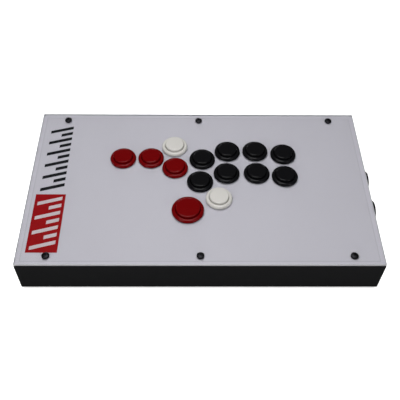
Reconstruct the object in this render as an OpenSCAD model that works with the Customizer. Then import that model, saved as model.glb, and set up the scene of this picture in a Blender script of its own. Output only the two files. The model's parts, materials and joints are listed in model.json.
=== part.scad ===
// All-button arcade controller panel: a folded steel case with a screwed-down button panel,
// fourteen snap-in buttons on top, two more in the right-hand wall, and a control board inside.
// Millimetres. X runs to the right, Y to the back and Z up, from the centre of the rest face.

/* [Case] */
// Width of the case, left to right
case_w = 350; // [344:1:380]
// Depth of the case, front to back
case_d = 200; // [198:1:220]
// Height of the folded tray
tray_h = 39; // [38:0.5:45]
// Thickness of the tray's steel sheet
steel_t = 1.2; // [1:0.1:1.4]
// Outside radius of the folds along the bottom edges
bend_r = 2.4; // [1.6:0.1:3]
// Width of the screw flanges folded in along the front and the back
flange_w = 14; // [14:0.5:18]

/* [Panel stack] */
// Thickness of the steel button panel
panel_t = 1.2; // [1:0.1:1.5]
// Thickness of the printed sheet
art_t = 0.2; // [0.1:0.05:0.4]
// Distance from the panel's edge to the printed sheet's edge
art_inset = 0.3; // [0.1:0.1:2]
// Air gap between the printed sheet and the clear cover
sheet_gap = 0.1; // [0.05:0.05:0.2]
// Thickness of the clear cover
cover_t = 1.5; // [1.5:0.1:3]

/* [Non-slip mat] */
// Thickness of the mat under the case
mat_t = 2; // [1:0.5:4]
// Distance from the case's edge to the mat's edge
mat_inset = 6; // [4:1:12]

/* [Panel screws] */
// Distance from the middle screw to each corner screw
screw_dx = 146; // [140:0.5:150]
// Distance from the centre line to each screw row
screw_dy = 90; // [88:0.5:92]
// Length of the screw shank
screw_l = 10; // [8:1:14]

/* [Buttons] */
// Hole size of the ordinary buttons
small_size = 24; // [24]
// Hole size of the thumb button
large_size = 30; // [30]
// Height of the top buttons' rims above the cover
rim_h = 3.1; // [2.8:0.1:4]
// Height of the side buttons' rims above the wall, tall enough to guard against stray presses
side_rim_h = 4.5; // [3:0.1:5]
// Height of every plunger's top above the face its button sits on
plunger_top = 5.6; // [5.4:0.1:6.5]
// Travel of the ordinary buttons
small_travel = 2.2; // [1.8:0.1:2.4]
// Travel of the thumb button
large_travel = 2.4; // [1.8:0.1:2.6]
// Gap between plunger and bore all round
plunger_gap = 0.3; // [0.2:0.05:0.4]

/* [Direction buttons] */
// Left button, to the right and to the back of the panel's centre
left_at = [-80.8, 32.6]; // [-84:0.1:36]
// Down button
down_at = [-51.2, 32.8]; // [-53:0.1:36]
// Right button
right_at = [-25.4, 19.1]; // [-27:0.1:20]
// Up button, under the thumbs
up_at = [-12, -36.1]; // [-40:0.1:-10]

/* [Stick-click buttons] */
// Left stick-click button
left_click_at = [-26.3, 49.6]; // [-28:0.1:51]
// Right stick-click button
right_click_at = [19.5, -21.4]; // [-24:0.1:21]

/* [Attack buttons] */
// First attack button, at the left of the back row
column_1_at = [3.2, 31.4]; // [2:0.1:32]
// Second attack button
column_2_at = [30.3, 42.7]; // [29:0.1:44]
// Third attack button
column_3_at = [60.2, 42.9]; // [41:0.1:61]
// Fourth attack button, at the right of the back row
column_4_at = [90.1, 38.9]; // [37:0.1:92]
// Distance from the back row to the front row
row_pitch = 30.9; // [29.5:0.1:32]
// How far each front-row button sits to the left of its column
row_shift = [2.6, 1.7, 0.2, 0.9]; // [0:0.1:3]

/* [Side buttons] */
// Depth of the side buttons' centres below the cover's top
side_drop = 18; // [17:0.1:19]
// Start and select buttons' places along the right-hand wall
side_y = [14.2, -25.4]; // [-28:0.1:18]

/* [Control board] */
// Size of the board along X and Y
board_size = [44, 96]; // [40:1:100]
// Centre of the board
board_at = [-138, 0]; // [-140:1:2]
// Height of the board above the tray's floor
standoff_h = 8; // [7:0.5:12]

/* [USB socket] */
// Place of the socket along the back wall
usb_x = -130; // [-140:1:-120]
// Height of the socket's centre above the rest face
usb_z = 20.5; // [20:0.1:24]

/* [Wires] */
// Outside radius of one insulated wire
wire_r = 0.55; // [0.4:0.05:0.6]
// Distance between neighbouring wires in the ribbon
lane_pitch = 2; // [1.6:0.1:2]

/* [Hidden] */
// Name, hole size, place, turn about its own axis, wall it sits in and colour of every button.
BUTTONS = [
    ["left", small_size, left_at, 0, "top", "darkred"],
    ["down", small_size, down_at, 0, "top", "darkred"],
    ["right", small_size, right_at, 180, "top", "darkred"],
    ["up", large_size, up_at, 0, "top", "darkred"],
    ["left_click", small_size, left_click_at, 0, "top", "whitesmoke"],
    ["right_click", small_size, right_click_at, 0, "top", "whitesmoke"],
    ["attack_1", small_size, column_1_at, 0, "top", "dimgray"],
    ["attack_2", small_size, column_2_at, 0, "top", "dimgray"],
    ["attack_3", small_size, column_3_at, 0, "top", "dimgray"],
    ["attack_4", small_size, column_4_at, 0, "top", "dimgray"],
    ["attack_5", small_size, front_row(column_1_at, row_shift[0]), 0, "top", "dimgray"],
    ["attack_6", small_size, front_row(column_2_at, row_shift[1]), 0, "top", "dimgray"],
    ["attack_7", small_size, front_row(column_3_at, row_shift[2]), 180, "top", "dimgray"],
    ["attack_8", small_size, front_row(column_4_at, row_shift[3]), 180, "top", "dimgray"],
    ["start", small_size, [case_w / 2, side_y[0]], 0, "side", "dimgray"],
    ["select", small_size, [case_w / 2, side_y[1]], 0, "side", "dimgray"]
];

// Which buttons' switches share a node: index ranges into BUTTONS.
SWITCH_GROUPS = [
    ["direction_switches", [0, 1, 2, 3]],
    ["click_switches", [4, 5]],
    ["attack_switches", [6, 7, 8, 9, 10, 11, 12, 13]],
    ["side_switches", [14, 15]]
];

// Ribbon lane of each button's signal wire, counted from the back, in the order of BUTTONS.
LANES = [5, 4, 7, 15, 0, 13, 6, 2, 1, 3, 12, 10, 9, 11, 8, 14];
ground_lane = 16;

// Order in which the ground wire visits the buttons, and how far each link bows sideways on its
// way, to the right of its direction where positive and to the left where negative.
CHAIN = [0, 1, 4, 2, 6, 7, 8, 9, 14, 15, 13, 12, 11, 10, 5, 3];
BOW = [-3, -3, 6, -3, -3, 3, 3, 3, -5, 3, -3, -4, 3, 3, 3];

// Levels above the rest face.
tray_z = mat_t;
floor_z = tray_z + steel_t;
panel_z = tray_z + tray_h;
art_z = panel_z + panel_t;
cover_z = art_z + art_t + sheet_gap;
top_z = cover_z + cover_t;
side_z = top_z - side_drop;
stack_t = top_z - panel_z;

// Clearances and seams.
hole_clear = 0.05;
barrel_clear = 0.15;
fold_slot = 0.6;
through = 1;

// Panel screws and their weld nuts.
screw_r = 1.98;
screw_hole_r = 2.25;
head_r = 3.8;
head_h = 2.2;
socket_r = 1.44;
socket_depth = 1.3;
nut_flats = 7;
nut_h = 3.2;
nut_bore_r = 2.05;
SCREWS = [for (x = [-screw_dx, 0, screw_dx], y = [-screw_dy, screw_dy]) [x, y]];

// Button body, measured from the face the rim sits on, outwards positive.
flange_growth = 0.44;
flange_base = 3.1;
flange_edge = 0.6;
crest_inset = 1.2;
crest_drop = 1.2;
bore_share = 0.42;
barrel_depth = 15.2;
floor_t = 2.2;
barrel_chamfer = 0.6;
barb_w = 5;
barb_lip = 1.05;
barb_root = 0.8;
barb_l = 4.2;
barb_gap = 0.2;
slit_w = 0.8;
slit_top = 1.6;
slit_end = 12.4;

// Plunger.
crown_h = 0.3;
crown_fillet = 1.2;
cap_t = 2.4;
skirt_t = 1.3;
skirt_end = 6;
post_r = 1.4;
post_end = 11.3;
leg_w = 4;
leg_t = 0.9;
leg_inset = 0.28;
leg_gap = 0.2;
hook_l = 0.8;
hook_h = 1;
hook_gap = 0.05;

// Switch, its terminals and their insulating sleeves.
switch_size = [12.8, 6, 9.5];
switch_top = 11;
switch_gap = 0.1;
recess_r = 1.8;
terminal_x = 3.2;
terminal_size = [0.5, 2.8, 6.5];
sleeve_size = [2.6, 4.4, 8.3];
sleeve_drop = 0.7;
sleeve_play = 0.15;
sleeve_floor = 2;
switch_end = switch_top + switch_size.z;
sleeve_end = switch_end + sleeve_drop + sleeve_size.z;

// Control board and what stands on it.
board_t = 1.6;
board_z = floor_z + standoff_h;
board_top = board_z + board_t;
board_hole_inset = 4;
board_hole_r = 1.6;
BOARD_HOLES = [
    for (x = [-1, 1], y = [-1, 1])
        [board_at.x + x * (board_size.x / 2 - board_hole_inset),
         board_at.y + y * (board_size.y / 2 - board_hole_inset)]
];
standoff_flats = 5.5;
board_screw_l = 6;
m3_r = 1.48;
m3_bore_r = 1.52;
m3_head_r = 2.8;
m3_head_h = 1.7;
m3_socket_r = 1.15;
m3_nut_h = 2.4;
header_size = [8, 38, 6];
header_wall = 1;
header_x = board_at.x + board_size.x / 2 - header_size.x;
plug_reach = 7;
plug_play = 0.12;
pin_t = 0.5;
pin_l = 4;
pin_play = 0.1;
wire_plug_x = header_x + header_size.x + plug_reach;
wire_plug_z = board_top + header_size.z / 2;
jack_size = [7.6, 6, 4];
jack_wall = 0.4;
jack_x = board_at.x;
jack_end = board_at.y + board_size.y / 2 + 0.5;

// USB socket in the back wall.
usb_flange = [26, 31, 2.5];
usb_flange_r = 2;
usb_barrel_r = 11.8;
usb_hole_r = 12;
usb_barrel_l = 22;
usb_screw_at = [9.5, 12];
usb_screw_hole_r = 1.6;
usb_screw_l = 8;
shell_size = [9.6, 8.9, 16];
shell_t = 0.45;
shell_chamfer = 1.6;
shell_gap = 0.05;
tongue_size = [5.6, 3.2, 9];
tongue_base = 3;
tongue_gap = 0.05;
cable_r = 1.9;
relief_r = 3;
jack_plug_r = 1.5;
back_y = case_d / 2;

// Wire runs.
lane_z = floor_z + 0.7;
run_z = lane_z + 2.6;
ground_z = run_z + 3;
riser_x = [wire_plug_x + 8, wire_plug_x + 4];
wire_bend = 1.2;
side_turn = [2.5, 5];
link_gap = 0.9;
wire_sides = 8;

STATIC = [
    "case_tray", "weld_nuts", "button_panel", "artwork_sheet", "cover_sheet", "panel_screws",
    "non_slip_mat", "switch_terminals", "terminal_sleeves", "signal_wires", "ground_wire",
    "control_board", "board_chips", "board_usb_jack", "button_header", "harness_plug",
    "board_standoffs", "board_screws", "usb_socket_housing", "usb_socket_shell",
    "usb_contact_tongue", "usb_socket_screws", "usb_socket_nuts", "usb_link_cable"
];

// Button record fields and the sizes that follow from the hole size.
function size_of(b) = b[1];
function on_side(b) = b[4] == "side";
function front_row(at, shift) = [at.x - shift, at.y - row_pitch];
function barrel_r(size) = size / 2 - barrel_clear;
function flange_r(size) = size * flange_growth + flange_base;
function bore_r(size) = size * bore_share;
function plunger_r(size) = bore_r(size) - plunger_gap;
function leg_out(size) = plunger_r(size) - leg_inset;
function travel(size) = size == large_size ? large_travel : small_travel;

// A point given in a button's own frame, in the frame of the whole part.
function from_button(b, p) =
    let (t = b[3], q = [cos(t) * p.x - sin(t) * p.y, sin(t) * p.x + cos(t) * p.y, p.z])
    on_side(b) ? [b[2].x + q.z, b[2].y + q.y, side_z - q.x]
               : [b[2].x + q.x, b[2].y + q.y, top_z + q.z];

module at_button(b) {
    if (on_side(b))
        translate([b[2].x, b[2].y, side_z]) rotate([0, 90, 0]) rotate([0, 0, b[3]]) children();
    else
        translate([b[2].x, b[2].y, top_z]) rotate([0, 0, b[3]]) children();
}

// Points along an elliptical arc.
function arc(centre, rx, ry, from, to, steps = 8) =
    [for (i = [0:steps]) let (a = from + (to - from) * i / steps)
        [centre.x + rx * cos(a), centre.y + ry * sin(a)]];

function round_rect(w, d, r) = concat(
    arc([w / 2 - r, d / 2 - r], r, r, 0, 90),
    arc([r - w / 2, d / 2 - r], r, r, 90, 180),
    arc([r - w / 2, r - d / 2], r, r, 180, 270),
    arc([w / 2 - r, r - d / 2], r, r, 270, 360)
);

// A block centred in X and Y, standing on z = 0.
module block(size) {
    translate([-size.x / 2, -size.y / 2, 0]) cube(size);
}

module hex_prism(flats, h) {
    cylinder(r = flats / sqrt(3), h = h, $fn = 6);
}

// Outline of a folded tray's wall seen along the fold: square at the top, round at the bottom.
function fold_outline(w, h, r) = concat(
    [[w / 2, h], [-w / 2, h]],
    arc([r - w / 2, r], r, r, 180, 270),
    arc([w / 2 - r, r], r, r, 270, 360)
);

// Block with every bottom edge rounded, standing on z = 0.
module folded_block(w, d, h, r) {
    intersection() {
        rotate([90, 0, 0]) linear_extrude(2 * d, center = true) polygon(fold_outline(w, h, r));
        rotate([90, 0, 90]) linear_extrude(2 * w, center = true) polygon(fold_outline(d, h, r));
    }
}

module case_tray() {
    inner_w = case_w - 2 * steel_t;
    inner_d = case_d - 2 * steel_t;
    color([0.1, 0.1, 0.11])
    difference() {
        translate([0, 0, tray_z]) folded_block(case_w, case_d, tray_h, bend_r);
        translate([0, 0, floor_z])
            folded_block(inner_w, inner_d, tray_h - 2 * steel_t, bend_r - steel_t);
        translate([0, 0, panel_z - 2 * steel_t])
            block([inner_w, case_d - 2 * flange_w, 2 * steel_t + through]);
        for (x = [-1, 1])
            translate([x * (inner_w - fold_slot) / 2, 0, panel_z - 2 * steel_t])
                block([fold_slot, inner_d, 2 * steel_t + through]);
        for (s = SCREWS)
            translate([s.x, s.y, panel_z - 2 * steel_t]) cylinder(r = screw_hole_r, h = 3 * steel_t);
        for (b = BUTTONS)
            if (on_side(b))
                at_button(b) translate([0, 0, -2 * steel_t])
                    cylinder(r = size_of(b) / 2 + hole_clear, h = 3 * steel_t);
        at_usb_socket() {
            translate([0, 0, -2 * steel_t]) cylinder(r = usb_hole_r, h = 3 * steel_t);
            at_usb_screws()
                translate([0, 0, -2 * steel_t]) cylinder(r = usb_screw_hole_r, h = 3 * steel_t);
        }
    }
}

module weld_nuts() {
    color("silver")
    for (s = SCREWS)
        translate([s.x, s.y, panel_z - steel_t - nut_h])
            difference() {
                hex_prism(nut_flats, nut_h);
                translate([0, 0, -through]) cylinder(r = nut_bore_r, h = nut_h + 2 * through);
            }
}

// Cutters for the button and screw holes of one sheet of the stack.
module stack_holes(z, t, button_clear, screw_clear) {
    for (b = BUTTONS)
        if (!on_side(b))
            translate([b[2].x, b[2].y, z - through])
                cylinder(r = size_of(b) / 2 + button_clear, h = t + 2 * through);
    for (s = SCREWS)
        translate([s.x, s.y, z - through])
            cylinder(r = screw_hole_r + screw_clear, h = t + 2 * through);
}

module stack_sheet(z, t, inset, corner_r, button_clear, screw_clear) {
    difference() {
        translate([0, 0, z])
            linear_extrude(t)
                polygon(round_rect(case_w - 2 * inset, case_d - 2 * inset, corner_r));
        stack_holes(z, t, button_clear, screw_clear);
    }
}

module button_panel() {
    color([0.1, 0.1, 0.11]) stack_sheet(panel_z, panel_t, 0, 0.8, hole_clear, 0);
}

module artwork_sheet() {
    color([0.86, 0.87, 0.9]) stack_sheet(art_z, art_t, art_inset, 0.8, 0.3, 0.35);
}

module cover_sheet() {
    color([0.85, 0.9, 0.95, 0.4]) stack_sheet(cover_z, cover_t, 0, 0.8, hole_clear, 0);
}

// Button-head screw hanging from z = 0: domed head above, shank below, hexagon socket in the top.
module dome_screw(shank_r, shank_l, cap_r, cap_h, key_r, key_depth) {
    edge_h = cap_h * 0.25;
    difference() {
        rotate_extrude($fn = 48)
            polygon(concat(
                [[0, -shank_l], [shank_r - 0.3, -shank_l], [shank_r, 0.3 - shank_l], [shank_r, 0],
                 [cap_r, 0]],
                arc([0, edge_h], cap_r, cap_h - edge_h, 0, 90)
            ));
        translate([0, 0, cap_h - key_depth]) cylinder(r = key_r, h = key_depth + through, $fn = 6);
    }
}

module panel_screws() {
    color("black")
    for (s = SCREWS)
        translate([s.x, s.y, top_z])
            dome_screw(screw_r, screw_l, head_r, head_h, socket_r, socket_depth);
}

module non_slip_mat() {
    color([0.13, 0.13, 0.13])
    linear_extrude(mat_t)
        polygon(round_rect(case_w - 2 * mat_inset, case_d - 2 * mat_inset, 6));
}

// Half profile of a button housing: floor, barrel and a rounded rim of the given height.
function housing_profile(size, rim) =
    let (r = bore_r(size), crest = r + crest_inset, barrel = barrel_r(size),
         flange = flange_r(size))
    concat(
        [[0, -barrel_depth], [barrel - barrel_chamfer, -barrel_depth],
         [barrel, barrel_chamfer - barrel_depth], [barrel, 0], [flange, 0]],
        arc([crest, flange_edge], flange - crest, rim - flange_edge, 0, 90),
        arc([crest, rim - crest_drop], crest_inset, crest_drop, 105, 180),
        [[r, floor_t - barrel_depth], [0, floor_t - barrel_depth]]
    );

// Snap-in housing in the button's own frame; wall is the thickness of what it clips into.
module housing(size, wall, rim) {
    barb_z = -wall - barb_gap;
    barrel = barrel_r(size);
    leg = leg_out(size);
    difference() {
        union() {
            rotate_extrude($fn = 96) polygon(housing_profile(size, rim));
            for (s = [-1, 1])
                rotate([90, 0, s * 90])
                    translate([0, 0, -barb_w / 2])
                        linear_extrude(barb_w)
                            polygon([
                                [barrel - barb_root, barb_z], [barrel + barb_lip, barb_z],
                                [barrel + barb_lip, barb_z - barb_gap],
                                [barrel - barb_root, barb_z - barb_l]
                            ]);
        }
        for (x = [-1, 1], y = [-1, 1])
            translate([x * (barb_w + 2 * slit_w) / 2, y * (barrel - 1), -slit_end])
                block([slit_w, 4, slit_end - slit_top]);
        translate([0, 0, -barrel_depth - through])
            block([switch_size.x + 2 * switch_gap, switch_size.y + 2 * switch_gap,
                   floor_t + 2 * through]);
        for (s = [0, 180])
            rotate([0, 0, s])
                translate([leg - leg_t - leg_gap, -leg_w / 2 - leg_gap, -barrel_depth - through])
                    cube([leg_t + 2 * leg_gap, leg_w + 2 * leg_gap, floor_t + 2 * through]);
    }
}

// Half profile of a plunger: crowned cap, skirt and the post that presses the switch.
function plunger_profile(size) =
    let (r = plunger_r(size), top_r = r - crown_fillet, edge_z = plunger_top - crown_h)
    concat(
        [[0, -post_end], [post_r, -post_end], [post_r, edge_z - cap_t],
         [r - skirt_t, edge_z - cap_t], [r - skirt_t, -skirt_end], [r, -skirt_end]],
        arc([top_r, edge_z - crown_fillet], crown_fillet, crown_fillet, 0, 90),
        [for (i = [5:-1:0]) [top_r * i / 6, plunger_top - crown_h * pow(i / 6, 2)]]
    );

// Plunger in the button's own frame, with two legs hooked under the housing's floor.
module plunger(size) {
    out = leg_out(size);
    hook_z = -barrel_depth - hook_gap;
    rotate_extrude($fn = 96) polygon(plunger_profile(size));
    for (s = [0, 180])
        rotate([0, 0, s]) {
            translate([out - leg_t, -leg_w / 2, hook_z - hook_h])
                cube([leg_t, leg_w, 1 - skirt_end - hook_z + hook_h]);
            translate([out - leg_t / 2, -leg_w / 2, hook_z - hook_h])
                cube([leg_t / 2 + hook_l, leg_w, hook_h]);
        }
}

module button_housing(b) {
    color(b[5]) at_button(b)
        if (on_side(b))
            housing(size_of(b), steel_t, side_rim_h);
        else
            housing(size_of(b), stack_t, rim_h);
}

module button_plunger(b) {
    color(b[5]) at_button(b) plunger(size_of(b));
}

// Microswitch in the button's own frame; the plunger's post works in the recess.
module micro_switch(size) {
    recess = post_end - switch_top + travel(size) + 0.2;
    translate([0, 0, -switch_end])
        difference() {
            block(switch_size);
            translate([0, 0, switch_size.z - recess]) cylinder(r = recess_r, h = recess + through);
        }
}

module switch_group(members) {
    color([0.16, 0.16, 0.18])
    for (i = members)
        at_button(BUTTONS[i]) micro_switch(size_of(BUTTONS[i]));
}

module at_terminals() {
    for (b = BUTTONS, s = [-1, 1])
        at_button(b) translate([s * terminal_x, 0, 0]) children();
}

module switch_terminals() {
    color("silver")
    at_terminals() translate([0, 0, -switch_end - terminal_size.z]) block(terminal_size);
}

module terminal_sleeves() {
    color("gold")
    at_terminals() translate([0, 0, -sleeve_end])
        difference() {
            block(sleeve_size);
            translate([0, 0, sleeve_floor])
                block([terminal_size.x + 2 * sleeve_play, terminal_size.y + 2 * sleeve_play,
                       sleeve_size.z]);
        }
}

// Sweep of a circle along a path, with the section carried along without twist.
function unit(v) = v / norm(v);
function tangent(path, i) = unit(path[min(i + 1, len(path) - 1)] - path[max(i - 1, 0)]);
function carry(path, i, u) =
    i == len(path) ? [] :
    let (t = tangent(path, i), v = unit(u - (u * t) * t))
    concat([v], carry(path, i + 1, v));

module tube(path, r, sides = wire_sides) {
    n = len(path);
    radius = is_list(r) ? r : [for (i = [1:n]) r];
    side = carry(path, 0, unit(cross(tangent(path, 0), [0.3, 0.5, 0.81])));
    points = [
        for (i = [0:n - 1], k = [0:sides - 1])
            let (a = 360 * k / sides, t = tangent(path, i))
            path[i] + radius[i] * (cos(a) * side[i] + sin(a) * cross(t, side[i]))
    ];
    walls = [
        for (i = [0:n - 2], k = [0:sides - 1])
            let (a = i * sides + k, b = i * sides + (k + 1) % sides)
            each [[a, a + sides, b + sides], [a, b + sides, b]]
    ];
    caps = [[for (k = [0:sides - 1]) k], [for (k = [sides - 1:-1:0]) (n - 1) * sides + k]];
    polyhedron(points, concat(walls, caps));
}

// The same path with every inner corner rounded off over the given length.
function rounded(path, bend) = concat(
    [path[0]],
    [for (i = [1:len(path) - 2], s = [0:2])
        let (a = unit(path[i - 1] - path[i]), c = unit(path[i + 1] - path[i]), t = s / 2)
        path[i] + bend * ((1 - t) * (1 - t) * a + t * t * c)],
    [path[len(path) - 1]]
);

function lane_y(lane) = ((len(BUTTONS) / 2) - lane) * lane_pitch;

// From a point above the ribbon, across to a lane, along it and up into the plug.
function to_plug(start, lane) = [
    [start.x, start.y, run_z],
    [start.x, lane_y(lane), run_z],
    [start.x, lane_y(lane), lane_z],
    [riser_x[0], lane_y(lane), lane_z],
    [riser_x[1], lane_y(lane), wire_plug_z],
    [wire_plug_x, lane_y(lane), wire_plug_z]
];

module signal_wires() {
    color("goldenrod")
    for (i = [0:len(BUTTONS) - 1]) {
        start = from_button(BUTTONS[i], [terminal_x, 0, -sleeve_end]);
        drop = start - [side_turn[0], 0, 0];
        path = on_side(BUTTONS[i]) ? concat([start, drop], to_plug(drop, LANES[i]))
                                   : concat([start], to_plug(start, LANES[i]));
        tube(rounded(path, wire_bend), wire_r);
    }
}

// Where the ground wire leaves a sleeve: the end, and the corner below it at the link level.
function link_end(b, side) =
    let (p = from_button(b, [-terminal_x, 0, -sleeve_end]) + [0, side * link_gap, 0])
    on_side(b) ? [p, p - [side_turn[1], 0, 0], [p.x - side_turn[1], p.y, ground_z]]
               : [p, [p.x, p.y, ground_z]];

function reversed(list) = [for (i = [len(list) - 1:-1:0]) list[i]];

// One link between two sleeves, bowed sideways over its middle half.
function link_path(from, to, bow) =
    let (a = link_end(from, -1), c = link_end(to, 1),
         p = a[len(a) - 1], q = c[len(c) - 1],
         ahead = unit(q - p), right = [ahead.y, -ahead.x, 0])
    concat(a, [p + 0.25 * (q - p) + bow * right, p + 0.75 * (q - p) + bow * right], reversed(c));

module ground_wire() {
    first = BUTTONS[CHAIN[0]];
    start = link_end(first, 1);
    color("black") {
        tube(rounded(concat([start[0]], to_plug(start[0], ground_lane)), wire_bend), wire_r);
        for (i = [0:len(CHAIN) - 2])
            tube(rounded(link_path(BUTTONS[CHAIN[i]], BUTTONS[CHAIN[i + 1]], BOW[i]), wire_bend),
                 wire_r);
    }
}

module control_board() {
    color("darkgreen")
    difference() {
        translate([board_at.x, board_at.y, board_z])
            linear_extrude(board_t) polygon(round_rect(board_size.x, board_size.y, 2));
        for (h = BOARD_HOLES)
            translate([h.x, h.y, board_z - through])
                cylinder(r = board_hole_r, h = board_t + 2 * through);
    }
}

// Processor, crystal, regulator, status light and a row of capacitors.
module board_chips() {
    color([0.12, 0.12, 0.12])
    translate([board_at.x - 4, board_at.y, board_top]) {
        translate([0, 6, 0]) block([10, 10, 1.1]);
        translate([-9, 8, 0]) block([4, 11, 3.2]);
        translate([-6, 28, 0]) block([6.5, 3.5, 1.6]);
        translate([6, -22, 0]) block([9.9, 3.9, 1.5]);
        translate([-12, -26, 0]) block([2, 1.2, 0.8]);
        for (i = [0:4])
            translate([3 * i - 6, -10, 0]) block([1.2, 2, 0.9]);
    }
}

module board_usb_jack() {
    inner = [jack_size.x - 2 * jack_wall, jack_size.y, jack_size.z - 2 * jack_wall];
    color("silver")
    translate([jack_x, jack_end - jack_size.y / 2, board_top])
        difference() {
            block(jack_size);
            translate([0, jack_wall, jack_wall]) block(inner);
        }
}

// Side-entry header: an open box with a row of pins, one per lane.
module button_header() {
    inner = [header_size.x, header_size.y - 2 * header_wall, header_size.z - 2 * header_wall];
    color("ivory")
    translate([header_x + header_size.x / 2, board_at.y, board_top]) {
        difference() {
            block(header_size);
            translate([header_wall, 0, header_wall]) block(inner);
        }
        for (lane = [0:ground_lane])
            translate([header_wall - header_size.x / 2 + pin_l / 2 - 0.2, lane_y(lane),
                       (header_size.z - pin_t) / 2])
                block([pin_l + 0.4, pin_t, pin_t]);
    }
}

module harness_plug() {
    start = header_x + header_wall + 0.2;
    socket = pin_t + 2 * pin_play;
    body = [wire_plug_x - start, header_size.y - 2 * (header_wall + plug_play),
            header_size.z - 2 * (header_wall + plug_play)];
    color("white")
    translate([start, board_at.y, wire_plug_z]) difference() {
        translate([body.x / 2, 0, -body.z / 2]) block(body);
        for (lane = [0:ground_lane])
            translate([0, lane_y(lane), -socket / 2]) block([2 * pin_l + 1, socket, socket]);
    }
}

module board_standoffs() {
    color("gold")
    for (h = BOARD_HOLES)
        translate([h.x, h.y, floor_z]) difference() {
            hex_prism(standoff_flats, standoff_h);
            translate([0, 0, through]) cylinder(r = m3_bore_r, h = standoff_h);
        }
}

module m3_screw(length) {
    dome_screw(m3_r, length, m3_head_r, m3_head_h, m3_socket_r, m3_head_h / 2);
}

module board_screws() {
    color("silver")
    for (h = BOARD_HOLES) translate([h.x, h.y, board_top]) m3_screw(board_screw_l);
}

// The socket's frame: z = 0 on the outside of the back wall, z out of the wall, y up.
module at_usb_socket() {
    translate([usb_x, back_y, usb_z]) rotate([-90, 0, 0]) mirror([0, 1, 0]) children();
}

module at_usb_screws() {
    for (s = [-1, 1]) translate([s * usb_screw_at.x, s * usb_screw_at.y, 0]) children();
}

// Outline of the square-ended plug opening, with its two top corners cut off.
module port_outline(w, h, cut) {
    polygon([
        [-w / 2, -h / 2], [w / 2, -h / 2], [w / 2, h / 2 - cut], [w / 2 - cut, h / 2],
        [cut - w / 2, h / 2], [-w / 2, h / 2 - cut]
    ]);
}

module usb_socket_housing() {
    color([0.08, 0.08, 0.08])
    at_usb_socket() difference() {
        union() {
            linear_extrude(usb_flange.z)
                polygon(round_rect(usb_flange.x, usb_flange.y, usb_flange_r));
            translate([0, 0, -usb_barrel_l]) cylinder(r = usb_barrel_r, h = usb_barrel_l + 1);
        }
        translate([0, 0, usb_flange.z - shell_size.z - shell_gap])
            linear_extrude(shell_size.z + through)
                port_outline(shell_size.x + 2 * shell_gap, shell_size.y + 2 * shell_gap,
                             shell_chamfer);
        translate([0, 0, -usb_barrel_l - through])
            cylinder(r = relief_r + 0.1, h = usb_barrel_l + usb_flange.z - shell_size.z);
        at_usb_screws()
            translate([0, 0, -through]) cylinder(r = usb_screw_hole_r, h = usb_flange.z + 2 * through);
    }
}

module usb_socket_shell() {
    color("silver")
    at_usb_socket() translate([0, 0, usb_flange.z - shell_size.z]) difference() {
        linear_extrude(shell_size.z) port_outline(shell_size.x, shell_size.y, shell_chamfer);
        translate([0, 0, -through])
            linear_extrude(shell_size.z + 2 * through)
                port_outline(shell_size.x - 2 * shell_t, shell_size.y - 2 * shell_t,
                             shell_chamfer - shell_t / 2);
    }
}

module usb_contact_tongue() {
    color("white")
    at_usb_socket() translate([0, 0, usb_flange.z - shell_size.z]) {
        linear_extrude(tongue_base)
            port_outline(shell_size.x - 2 * (shell_t + tongue_gap),
                         shell_size.y - 2 * (shell_t + tongue_gap), shell_chamfer);
        translate([0, 0, tongue_base - 0.5])
            block([tongue_size.x, tongue_size.y, tongue_size.z + 0.5]);
    }
}

module usb_socket_screws() {
    color("black")
    at_usb_socket() at_usb_screws() translate([0, 0, usb_flange.z]) m3_screw(usb_screw_l);
}

module usb_socket_nuts() {
    color("silver")
    at_usb_socket() at_usb_screws()
        translate([0, 0, -steel_t - m3_nut_h])
            difference() {
                hex_prism(standoff_flats, m3_nut_h);
                translate([0, 0, -through])
                    cylinder(r = m3_bore_r, h = m3_nut_h + 2 * through);
            }
}

// Internal cable from the board's jack to the socket, thicker where it is moulded at each end.
module usb_link_cable() {
    jack_z = board_top + jack_size.z / 2;
    start = [jack_x, jack_end - jack_size.y / 2, jack_z];
    end = [usb_x, back_y - usb_barrel_l + 2, usb_z];
    grip = jack_end + 8;
    relief = end.y - 7;
    steps = 12;
    middle = [
        for (i = [0:steps]) let (t = i / steps, s = t * t * (3 - 2 * t))
            [start.x + (end.x - start.x) * s, grip + 2 + (relief - grip - 3) * t,
             start.z + (end.z - start.z) * s]
    ];
    path = concat(
        [start, [start.x, grip - 1, start.z], [start.x, grip, start.z]],
        middle,
        [[end.x, relief, end.z], [end.x, relief + 1, end.z], end]
    );
    radius = concat([jack_plug_r, jack_plug_r, jack_plug_r], [for (i = [0:steps]) cable_r],
                    [cable_r, relief_r, relief_r]);
    color([0.15, 0.15, 0.15]) tube(path, radius, 16);
}

case_tray();
weld_nuts();
button_panel();
artwork_sheet();
cover_sheet();
panel_screws();
non_slip_mat();
switch_terminals();
terminal_sleeves();
signal_wires();
ground_wire();
control_board();
board_chips();
board_usb_jack();
button_header();
harness_plug();
board_standoffs();
board_screws();
usb_socket_housing();
usb_socket_shell();
usb_contact_tongue();
usb_socket_screws();
usb_socket_nuts();
usb_link_cable();
for (g = SWITCH_GROUPS)
    switch_group(g[1]);
for (b = BUTTONS)
    button_housing(b);
for (b = BUTTONS)
    button_plunger(b);
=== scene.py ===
"""Looks for the all-button arcade controller panel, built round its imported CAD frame.

Lengths are in metres unless a name ends in _MM. X runs to the player's right, Y to the back, Z up.
"""

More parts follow.
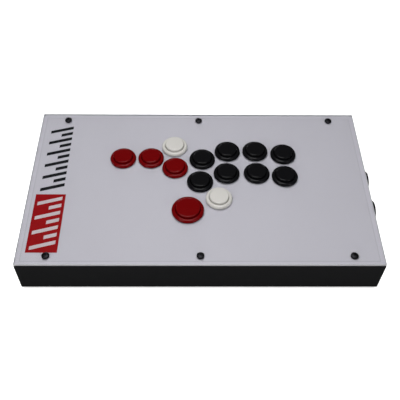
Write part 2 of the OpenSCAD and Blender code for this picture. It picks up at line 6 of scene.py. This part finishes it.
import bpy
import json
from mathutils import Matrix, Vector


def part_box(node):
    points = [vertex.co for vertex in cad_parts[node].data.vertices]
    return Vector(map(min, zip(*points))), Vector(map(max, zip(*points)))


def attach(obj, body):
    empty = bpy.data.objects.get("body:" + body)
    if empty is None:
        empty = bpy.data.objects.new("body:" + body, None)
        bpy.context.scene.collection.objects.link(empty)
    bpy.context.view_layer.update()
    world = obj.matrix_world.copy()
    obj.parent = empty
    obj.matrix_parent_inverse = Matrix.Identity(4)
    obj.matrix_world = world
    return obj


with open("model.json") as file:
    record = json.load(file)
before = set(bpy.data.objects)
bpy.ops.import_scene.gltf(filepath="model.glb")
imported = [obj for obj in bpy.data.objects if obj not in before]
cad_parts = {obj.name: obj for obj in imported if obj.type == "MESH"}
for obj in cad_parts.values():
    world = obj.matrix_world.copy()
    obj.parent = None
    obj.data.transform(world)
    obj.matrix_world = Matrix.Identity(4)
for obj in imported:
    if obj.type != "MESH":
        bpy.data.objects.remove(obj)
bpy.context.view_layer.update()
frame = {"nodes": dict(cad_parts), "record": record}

import json
import math

import bmesh
import bpy
from mathutils import Euler, Vector

MM = 0.001
NODES = frame["nodes"]
RECORD = frame["record"]

# --------------------------------------------------------------------------------------------
# Camera, light and floor
# --------------------------------------------------------------------------------------------
CAMERA_AT_MM = (-13.0, -406.0, 536.0)
CAMERA_TURN_DEG = (38.546, -0.66, -0.384)
CAMERA_LENS = 55.46
CAMERA_SENSOR = 36.0
CAMERA_SHIFT = (0.0124, -0.0175)

# name: place in mm, point aimed at in mm, side lengths in mm, power in W
LIGHTS = {
    "key": ((-25, -20, 760), (-15, -20, 40), (600, 400), 4.35),
    "left": ((-825, -930, 840), (0, 0, 40), (520, 520), 4.4),
    "right": ((825, -930, 840), (0, 0, 40), (520, 520), 2.9),
    "back": ((-250, 1300, 420), (0, 100, 20), (700, 400), 2.5),
    "under": ((0, 0, -900), (0, 0, 0), (300, 160), 3.0),
}
WORLD_STRENGTH = 0.04
# As bright as the far floor, so that no horizon shows.
BACKDROP_GLOW = 0.958
FLOOR_SIZE = 12.0
FLOOR_GLOW = 0.92
FLOOR_SHADE = 0.9
FLOOR_SHADE_FOR_OTHERS = 0.2
CONTACT_SHADOW_MM = 3.2

# --------------------------------------------------------------------------------------------
# Smoothing: edges sharper than the angle stay sharp
# --------------------------------------------------------------------------------------------
SMOOTH_DEG = 32
# Wires and cables, whose sides are few enough to need a wide smoothing angle.
ROUND_RUNS = ("signal_wires", "ground_wire", "usb_link_cable")
ROUND_RUN_SMOOTH_DEG = 60
WELD_MM = 0.0005

# --------------------------------------------------------------------------------------------
# Printed sheet's margin, painted lighter as painted edge glow, and clear cover's rim; a tint
# multiplies the sheet's own colour
# --------------------------------------------------------------------------------------------
MARGIN_MM = 4.6
# Painted edge glow: the margin's colour is lightened where light would enter at the clear sheet's
# sides.
MARGIN_GLOW_TINT = 1.05
MARGIN_LINE_MM = 0.8
MARGIN_LINE_TINT = 0.86
ACRYLIC_IOR = 1.49
ACRYLIC_TINT = (0.975, 0.98, 0.985)
ARRIS_MM = 0.7
# Colour of the arrises, and of every rim face seen from inside, where the darker colour is painted
# shade.
ARRIS_AND_INSIDE_SHADE_COLOUR = (0.57, 0.575, 0.6)
SAWN_EDGE_COLOUR = (1.0, 1.0, 1.0)
# A face counts as a sawn edge when the upright part of its normal is below this.
SAWN_EDGE_SLOPE = 0.8
# How much of the clear sheet the rim covers, seen from outside; from inside it covers it all.
RIM_SHARE = 0.8

# --------------------------------------------------------------------------------------------
# Printed band on the sheet
# --------------------------------------------------------------------------------------------
INK_LIFT_MM = 0.01
INK_MM = 0.03
BAND_X_MM = (-163.4, -139.2)
DARK_BAND_Y_MM = (-11.1, 81.8)
DARK_BARS = 11
RED_BLOCK_X_MM = (-166.6, -136.2)
RED_BLOCK_Y_MM = (-85.5, -14.8)
PALE_BARS = 7
PALE_BARS_INSET_MM = 3
BAR_MM = 4.2
BAR_SLANT_MM = 7.0
# Where a short bar starts, as a share of the band's width.
SHORT_BAR_START = 0.5


class Surface:
    """A node material under construction: a Principled shader and short calls for common nodes."""

    def __init__(self, name):
        self.material = bpy.data.materials.new(name)
        self.material.use_nodes = True
        self.tree = self.material.node_tree
        self.shader = self.tree.nodes["Principled BSDF"]
        self.output = self.tree.nodes["Material Output"]
        self.place = self.tree.nodes.new("ShaderNodeTexCoord").outputs["Object"]

    def set(self, **values):
        """Sets Principled inputs; an underscore stands for a space, and a socket is linked."""
        for key, value in values.items():
            self.feed(self.shader.inputs[key.replace("_", " ")], value)

    def feed(self, socket, value):
        """Links a socket to an input, or sets the input to a colour or a number."""
        if isinstance(value, bpy.types.NodeSocket):
            self.tree.links.new(value, socket)
        elif isinstance(value, tuple) and len(value) == 3 and socket.type == "RGBA":
            socket.default_value = (*value, 1.0)
        else:
            socket.default_value = value

    def node(self, kind, output=0, settings=None, **values):
        """Adds a node, fills its inputs by name and returns one of its outputs."""
        made = self.tree.nodes.new("ShaderNode" + kind)
        for key, value in (settings or {}).items():
            setattr(made, key, value)
        for key, value in values.items():
            self.feed(made.inputs[key.replace("_", " ")], value)
        return made.outputs[output]

    def noise(self, scale, detail=2.0, roughness=0.5, place=None):
        return self.node("TexNoise", Vector=place or self.place, Scale=scale, Detail=detail,
                         Roughness=roughness)

    def stretched(self, x, y, z):
        """Coordinates squeezed along each axis, for brushed or running patterns."""
        return self.node("Mapping", Vector=self.place, Scale=(x, y, z))

    def math(self, operation, *values):
        made = self.tree.nodes.new("ShaderNodeMath")
        made.operation = operation
        for socket, value in zip(made.inputs, values):
            self.feed(socket, value)
        return made.outputs[0]

    def axis(self, index):
        """One coordinate of the shaded point."""
        return self.node("SeparateXYZ", index, Vector=self.place)

    def inset_from(self, node):
        """Distance from the shaded point in to the nearest side of a centred node's box."""
        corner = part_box(node)[1]
        inward = [self.math("SUBTRACT", corner[i], self.math("ABSOLUTE", self.axis(i)))
                  for i in (0, 1)]
        return self.math("MINIMUM", *inward)

    def ranged(self, value, low, high, from_low=0.0, from_high=1.0):
        made = self.tree.nodes.new("ShaderNodeMapRange")
        self.feed(made.inputs["Value"], value)
        made.inputs["From Min"].default_value = from_low
        made.inputs["From Max"].default_value = from_high
        made.inputs["To Min"].default_value = low
        made.inputs["To Max"].default_value = high
        return made.outputs[0]

    def mixed(self, share, a, b):
        made = self.tree.nodes.new("ShaderNodeMix")
        made.data_type = "RGBA"
        self.feed(made.inputs["Factor"], share)
        self.feed(made.inputs["A"], a)
        self.feed(made.inputs["B"], b)
        return made.outputs["Result"]

    def bump(self, height, depth, strength=1.0):
        self.set(Normal=self.node("Bump", Height=height, Distance=depth, Strength=strength))
        return self


def shades(colour, spread):
    """A darker and a lighter version of a colour."""
    low = tuple(c * (1 - spread) for c in colour)
    high = tuple(min(1, c * (1 + spread)) for c in colour)
    return low, high


def coated_metal(name, colour, roughness, specular, peel_mm):
    """Powder coat: fine orange peel, with slow drifts of shade and sheen."""
    s = Surface(name)
    low, high = shades(colour, 0.06)
    drift = s.noise(9.0, 3.0)
    s.set(Base_Color=s.mixed(drift, low, high), Specular_IOR_Level=specular)
    s.set(Roughness=s.ranged(s.noise(45.0, 3.0), roughness - 0.06, roughness + 0.06))
    return s.bump(s.noise(1100.0, 3.0, 0.6), peel_mm * MM).material


def moulded_plastic(name, colour, roughness, skin_mm, specular=0.5, spread=0.05):
    """Moulded plastic: a soft mottle in shade, fingerprint-scale changes in gloss, a faint skin."""
    s = Surface(name)
    low, high = shades(colour, spread)
    s.set(Base_Color=s.mixed(s.noise(120.0, 3.0), low, high), Specular_IOR_Level=specular)
    gloss = s.ranged(s.noise(260.0, 4.0, 0.65), roughness * 0.88, roughness * 1.12, 0.3, 0.7)
    s.set(Roughness=gloss)
    return s.bump(s.noise(900.0, 2.0), skin_mm * MM).material


def bare_metal(name, colour, roughness, stretch, scratch_mm=0.01):
    """Plated or bare metal with fine scratches, drawn out along the axes with a low stretch."""
    s = Surface(name)
    low, high = shades(colour, 0.12)
    streaks = s.noise(700.0, 4.0, 0.6, s.stretched(*stretch))
    s.set(Base_Color=s.mixed(s.noise(300.0, 3.0), low, high), Metallic=1.0)
    s.set(Roughness=s.ranged(streaks, roughness * 0.7, roughness * 1.4))
    return s.bump(streaks, scratch_mm * MM).material


def ink(name, colour):
    """Screen-printed ink: nearly even, with a trace of grain and a dull skin."""
    s = Surface(name)
    low, high = shades(colour, 0.05)
    s.set(Base_Color=s.mixed(s.noise(400.0, 4.0), low, high), Specular_IOR_Level=0.08)
    s.set(Roughness=s.ranged(s.noise(60.0, 2.0), 0.38, 0.5))
    return s.bump(s.noise(2500.0, 2.0), 0.004 * MM).material


def clear_acrylic(name):
    """Clear sheet: see-through with a mirror-like skin, and pale sawn edges and arrises; seen from
    inside, the rim is painted darker as painted shade.
    """
    s = Surface(name)
    tree = s.tree
    s.set(Roughness=0.4, Specular_IOR_Level=0.2)
    clear = tree.nodes.new("ShaderNodeBsdfTransparent")
    clear.inputs["Color"].default_value = (*ACRYLIC_TINT, 1.0)
    gloss = tree.nodes.new("ShaderNodeBsdfGlossy")
    s.feed(gloss.inputs["Roughness"], s.ranged(s.noise(30.0, 3.0), 0.06, 0.12))
    fresnel = tree.nodes.new("ShaderNodeFresnel")
    fresnel.inputs["IOR"].default_value = ACRYLIC_IOR
    from_inside = s.node("NewGeometry", "Backfacing")
    from_outside = s.math("SUBTRACT", 1.0, from_inside)
    pane = tree.nodes.new("ShaderNodeMixShader")
    tree.links.new(s.math("MULTIPLY", fresnel.outputs[0], from_outside), pane.inputs[0])
    tree.links.new(clear.outputs[0], pane.inputs[1])
    tree.links.new(gloss.outputs[0], pane.inputs[2])
    facing = s.node("SeparateXYZ", 2, Vector=s.node("NewGeometry", "True Normal"))
    wall = s.math("LESS_THAN", s.math("ABSOLUTE", facing), SAWN_EDGE_SLOPE)
    arris = s.math("LESS_THAN", s.inset_from("cover_sheet"), ARRIS_MM * MM)
    rim = s.math("MAXIMUM", wall, arris)
    rim_share = s.math("MULTIPLY", rim, s.ranged(from_inside, RIM_SHARE, 1.0))
    # Seen from inside, the sawn edges take the darker arris colour: painted shade.
    dull = s.math("MAXIMUM", s.math("SUBTRACT", 1.0, wall), from_inside)
    s.set(Base_Color=s.mixed(dull, SAWN_EDGE_COLOUR, ARRIS_AND_INSIDE_SHADE_COLOUR))
    whole = tree.nodes.new("ShaderNodeMixShader")
    tree.links.new(rim_share, whole.inputs[0])
    tree.links.new(pane.outputs[0], whole.inputs[1])
    tree.links.new(s.shader.outputs[0], whole.inputs[2])
    tree.links.new(whole.outputs[0], s.output.inputs["Surface"])
    return s.material


def ribbed_rubber(name, colour):
    """Non-slip rubber: slanting rows of small ribs, their crests painted lighter as a painted
    highlight, over a dull, dusty skin.
    """
    s = Surface(name)
    low, high = shades(colour, 0.25)
    ribs = s.node("TexWave", 1, Vector=s.place, Scale=90.0, Distortion=0.0,
                  settings={"bands_direction": "DIAGONAL"})
    dust = s.mixed(s.noise(40.0, 5.0), low, high)
    # The rib crests are lightened in colour: a painted highlight, so that the ribs show under
    # frontal light.
    rib_highlight_tint = 2.2
    painted_rib_highlight = tuple(c * rib_highlight_tint for c in colour)
    s.set(Base_Color=s.mixed(ribs, dust, painted_rib_highlight), Specular_IOR_Level=0.3)
    s.set(Roughness=s.ranged(s.noise(80.0, 3.0), 0.75, 0.95))
    grain = s.math("MULTIPLY", s.noise(900.0), 0.3)
    return s.bump(s.math("ADD", ribs, grain), 0.25 * MM).material


def wire_jackets(name, colours):
    """Insulation whose colour changes from wire to wire."""
    s = Surface(name)
    island = s.node("NewGeometry", "Random Per Island")
    ramp = s.tree.nodes.new("ShaderNodeValToRGB")
    ramp.color_ramp.interpolation = "CONSTANT"
    stops = ramp.color_ramp.elements
    for i, colour in enumerate(colours):
        position = i / len(colours)
        # A new ramp comes with two stops.
        stop = stops[i] if i < 2 else stops.new(position)
        stop.position = position
        stop.color = (*colour, 1.0)
    s.feed(ramp.inputs["Fac"], island)
    s.set(Base_Color=ramp.outputs["Color"])
    s.set(Roughness=s.ranged(s.noise(300.0, 2.0), 0.27, 0.43))
    return s.bump(s.noise(1500.0, 2.0), 0.01 * MM).material


def circuit_laminate(name):
    """Solder mask over copper: a lighter web of traces, round vias and a fine weave."""
    s = Surface(name)
    traces = s.node("TexBrick", 1, Vector=s.place, Scale=130.0, Mortar_Size=0.08,
                    Mortar_Smooth=0.1)
    vias = s.node("TexVoronoi", 0, Vector=s.place, Scale=190.0, Randomness=1.0)
    ring = s.math("LESS_THAN", vias, 0.09)
    mask = s.mixed(traces, (0.006, 0.09, 0.035), (0.012, 0.17, 0.06))
    s.set(Base_Color=s.mixed(ring, mask, (0.7, 0.66, 0.5)), Metallic=ring)
    s.set(Roughness=s.ranged(s.noise(200.0, 2.0), 0.25, 0.4))
    weave = s.math("MULTIPLY", s.noise(2500.0), 0.4)
    return s.bump(s.math("ADD", traces, weave), 0.03 * MM).material


def printed_film(name, colour):
    """The printed sheet: a satin tint, a margin painted lighter as painted edge glow from the clear
    sheet's sides, and a fine line between them.
    """
    s = Surface(name)
    low, high = shades(colour, 0.015)
    printed = s.mixed(s.noise(25.0, 4.0), low, high)
    inset = s.inset_from("artwork_sheet")
    line = s.math("COMPARE", inset, MARGIN_MM * MM, MARGIN_LINE_MM * MM / 2)
    margin = s.math("LESS_THAN", inset, MARGIN_MM * MM)
    # The margin's lighter tint is painted edge glow.
    pale, dim = (tuple(c * tint for c in colour) for tint in (MARGIN_GLOW_TINT, MARGIN_LINE_TINT))
    s.set(Base_Color=s.mixed(line, s.mixed(margin, printed, pale), dim), Specular_IOR_Level=0.3)
    s.set(Roughness=s.ranged(s.noise(40.0, 3.0), 0.52, 0.6))
    return s.bump(s.noise(55.0, 2.0), 0.01 * MM).material


def make_materials():
    """One material for each of the record's slots."""
    all_ways, along_y, along_z = (1.0, 1.0, 1.0), (1.0, 0.08, 1.0), (1.0, 1.0, 0.15)
    return {
        "black_powder_coat": coated_metal("black_coat", (0.02, 0.02, 0.0215), 0.6,
                                          specular=0.12, peel_mm=0.02),
        "printed_sheet": printed_film("printed_film", (0.575, 0.555, 0.6)),
        "clear_acrylic": clear_acrylic("clear_cover"),
        "black_oxide_steel": bare_metal("black_oxide", (0.022, 0.022, 0.025), 0.45, all_ways),
        "zinc_steel": bare_metal("zinc_plate", (0.62, 0.63, 0.66), 0.3, along_z),
        "mat_rubber": ribbed_rubber("mat_rubber", (0.02, 0.02, 0.021)),
        "red_button_plastic": moulded_plastic("red_plastic", (0.146, 0.0019, 0.0026), 0.12,
                                              skin_mm=0.002, specular=0.1),
        "black_button_plastic": moulded_plastic("black_plastic", (0.0057, 0.0057, 0.0064), 0.12,
                                                skin_mm=0.002, specular=0.1),
        "white_button_plastic": moulded_plastic("white_plastic", (0.62, 0.605, 0.575), 0.2,
                                                skin_mm=0.002, specular=0.3, spread=0.02),
        "switch_resin": moulded_plastic("switch_resin", (0.02, 0.02, 0.023), 0.55, skin_mm=0.01),
        "terminal_metal": bare_metal("tinned_blade", (0.72, 0.72, 0.7), 0.35, along_y),
        "sleeve_nylon": moulded_plastic("sleeve_nylon", (0.68, 0.52, 0.22), 0.4, skin_mm=0.01),
        "signal_wire_insulation": wire_jackets("signal_jackets", [
            (0.55, 0.02, 0.02), (0.6, 0.22, 0.02), (0.65, 0.5, 0.03), (0.03, 0.25, 0.07),
            (0.02, 0.1, 0.4), (0.25, 0.06, 0.35), (0.5, 0.5, 0.52)]),
        "ground_wire_insulation": wire_jackets("ground_jackets", [
            (0.012, 0.012, 0.012), (0.02, 0.02, 0.02)]),
        "board_laminate": circuit_laminate("circuit_laminate"),
        "chip_resin": moulded_plastic("chip_resin", (0.02, 0.02, 0.021), 0.6, skin_mm=0.015),
        "jack_metal": bare_metal("nickel_plate", (0.68, 0.68, 0.66), 0.25, along_y,
                                 scratch_mm=0.008),
        "header_nylon": moulded_plastic("header_nylon", (0.72, 0.68, 0.55), 0.45, skin_mm=0.01),
        "plug_nylon": moulded_plastic("plug_nylon", (0.74, 0.72, 0.64), 0.45, skin_mm=0.01),
        "standoff_brass": bare_metal("turned_brass", (0.62, 0.43, 0.15), 0.28, along_z),
        "socket_plastic": moulded_plastic("socket_plastic", (0.014, 0.014, 0.015), 0.5,
                                          skin_mm=0.02),
        "tongue_plastic": moulded_plastic("tongue_plastic", (0.7, 0.7, 0.68), 0.4, skin_mm=0.01),
        "cable_jacket": moulded_plastic("cable_jacket", (0.015, 0.015, 0.015), 0.6,
                                        skin_mm=0.02),
    }


def smooth(obj, angle_deg):
    """Shades curved walls smoothly and keeps edges sharper than the angle."""
    imported = obj.data.attributes.get("custom_normal")
    if imported:
        obj.data.attributes.remove(imported)
    obj.data.shade_smooth()
    weld = obj.modifiers.new("weld", "WELD")
    weld.merge_threshold = WELD_MM * MM
    split = obj.modifiers.new("edges", "EDGE_SPLIT")
    split.split_angle = math.radians(angle_deg)


def dress_cad(materials):
    """Gives every CAD node its slot's material."""
    for entry in RECORD["subparts"]:
        obj = NODES[entry["node"]]
        obj.data.materials.clear()
        obj.data.materials.append(materials[entry["material_slot"]])
        smooth(obj, ROUND_RUN_SMOOTH_DEG if entry["node"] in ROUND_RUNS else SMOOTH_DEG)


def mesh_piece(name, bm, material):
    """Turns a finished bmesh into a piece riding on the case."""
    bmesh.ops.recalc_face_normals(bm, faces=bm.faces)
    mesh = bpy.data.meshes.new(name)
    bm.to_mesh(mesh)
    bm.free()
    mesh.materials.append(material)
    obj = bpy.data.objects.new(name, mesh)
    bpy.context.scene.collection.objects.link(obj)
    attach(obj, "case")


def prism(bm, outline_mm, low_mm, high_mm):
    """Adds a closed upright prism over an outline."""
    rings = [[bm.verts.new((x * MM, y * MM, z * MM)) for x, y in outline_mm]
             for z in (low_mm, high_mm)]
    bm.faces.new(rings[0])
    bm.faces.new(rings[1])
    count = len(outline_mm)
    for i in range(count):
        j = (i + 1) % count
        bm.faces.new((rings[0][i], rings[0][j], rings[1][j], rings[1][i]))


def slanted_bars(x_mm, y_mm, count):
    """Outlines of evenly spaced slanted bars; every other one stops short of the left side."""
    pitch = (y_mm[1] - y_mm[0] - BAR_SLANT_MM - BAR_MM) / (count - 1)
    bars = []
    for i in range(count):
        left, right = x_mm
        low = y_mm[0] + i * pitch
        slope = BAR_SLANT_MM / (right - left)
        if i % 2:
            left += SHORT_BAR_START * (right - left)
        start, end = (low + slope * (x - x_mm[0]) for x in (left, right))
        bars.append([(left, start), (right, end), (right, end + BAR_MM), (left, start + BAR_MM)])
    return bars


def build_print(materials):
    """The generic printed band at the panel's left: dark bars, and a red block with pale bars."""
    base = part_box("artwork_sheet")[1].z / MM + INK_LIFT_MM
    low_y, high_y = RED_BLOCK_Y_MM
    red_block = [(RED_BLOCK_X_MM[i], RED_BLOCK_Y_MM[j])
                 for i, j in ((0, 0), (1, 0), (1, 1), (0, 1))]
    pale_y = (low_y + PALE_BARS_INSET_MM, high_y - PALE_BARS_INSET_MM)
    # name: colour, layer of ink counted from the sheet, outlines
    layers = {
        "print_dark_bars": ((0.009, 0.0095, 0.011), 0,
                            slanted_bars(BAND_X_MM, DARK_BAND_Y_MM, DARK_BARS)),
        "print_red_block": ((0.31, 0.0035, 0.0055), 0, [red_block]),
        "print_pale_bars": ((0.62, 0.53, 0.54), 1, slanted_bars(BAND_X_MM, pale_y, PALE_BARS)),
    }
    for name, (colour, layer, outlines) in layers.items():
        bm = bmesh.new()
        for outline in outlines:
            low = base + layer * INK_MM
            prism(bm, outline, low, low + INK_MM)
        mesh_piece(name, bm, ink(name, colour))


def add_camera():
    data = bpy.data.cameras.new("camera")
    data.lens = CAMERA_LENS
    data.sensor_width = CAMERA_SENSOR
    data.shift_x, data.shift_y = CAMERA_SHIFT
    camera = bpy.data.objects.new("camera", data)
    camera.location = [v * MM for v in CAMERA_AT_MM]
    camera.rotation_euler = Euler([math.radians(v) for v in CAMERA_TURN_DEG])
    bpy.context.scene.collection.objects.link(camera)
    bpy.context.scene.camera = camera


def add_lights():
    for name, (place, aim, size, power) in LIGHTS.items():
        data = bpy.data.lights.new(name, "AREA")
        data.shape = "RECTANGLE"
        data.size, data.size_y = (s * MM for s in size)
        data.energy = power
        lamp = bpy.data.objects.new(name, data)
        lamp.location = [v * MM for v in place]
        toward = Vector(aim) - Vector(place)
        lamp.rotation_euler = toward.to_track_quat("-Z", "Y").to_euler()
        bpy.context.scene.collection.objects.link(lamp)


def add_backdrop():
    """A world that looks pale behind the floor and gives only a little fill light."""
    world = bpy.data.worlds.new("studio")
    world.use_nodes = True
    tree = world.node_tree
    strength = tree.nodes.new("ShaderNodeMapRange")
    strength.inputs["To Min"].default_value = WORLD_STRENGTH
    strength.inputs["To Max"].default_value = BACKDROP_GLOW
    background = tree.nodes["Background"]
    background.inputs["Color"].default_value = (1, 1, 1, 1)
    tree.links.new(tree.nodes.new("ShaderNodeLightPath").outputs["Is Camera Ray"],
                   strength.inputs["Value"])
    tree.links.new(strength.outputs[0], background.inputs["Strength"])
    bpy.context.scene.world = world


def add_floor():
    """A pale floor: bright to the camera, dull to the object, clear from below and to shadows."""
    bm = bmesh.new()
    bmesh.ops.create_grid(bm, x_segments=2, y_segments=2, size=FLOOR_SIZE / 2)
    mesh = bpy.data.meshes.new("floor")
    bm.to_mesh(mesh)
    bm.free()
    s = Surface("pale_floor")
    camera_ray = s.node("LightPath", "Is Camera Ray")
    for_others, for_camera = ((shade,) * 3 for shade in (FLOOR_SHADE_FOR_OTHERS, FLOOR_SHADE))
    s.set(Base_Color=s.mixed(camera_ray, for_others, for_camera), Roughness=0.9)
    s.set(Specular_IOR_Level=0.0, Emission_Color=(1.0, 1.0, 1.0))
    openness = s.node("AmbientOcclusion", 1, {"samples": 16}, Distance=CONTACT_SHADOW_MM * MM)
    s.set(Emission_Strength=s.math("MULTIPLY", camera_ray, s.ranged(openness, 0.0, FLOOR_GLOW)))
    see_through = s.tree.nodes.new("ShaderNodeBsdfTransparent")
    two_sided = s.tree.nodes.new("ShaderNodeMixShader")
    clear_for = s.math("MAXIMUM", s.node("NewGeometry", "Backfacing"),
                       s.node("LightPath", "Is Shadow Ray"))
    s.feed(two_sided.inputs[0], clear_for)
    s.tree.links.new(s.shader.outputs[0], two_sided.inputs[1])
    s.tree.links.new(see_through.outputs[0], two_sided.inputs[2])
    s.tree.links.new(two_sided.outputs[0], s.output.inputs["Surface"])
    mesh.materials.append(s.material)
    floor = bpy.data.objects.new("floor", mesh)
    bpy.context.scene.collection.objects.link(floor)


def set_look():
    view = bpy.context.scene.view_settings
    view.view_transform = "Standard"
    view.look = "None"
    view.exposure = 0.0


materials = make_materials()
dress_cad(materials)
build_print(materials)
add_camera()
add_lights()
add_backdrop()
add_floor()
set_look()
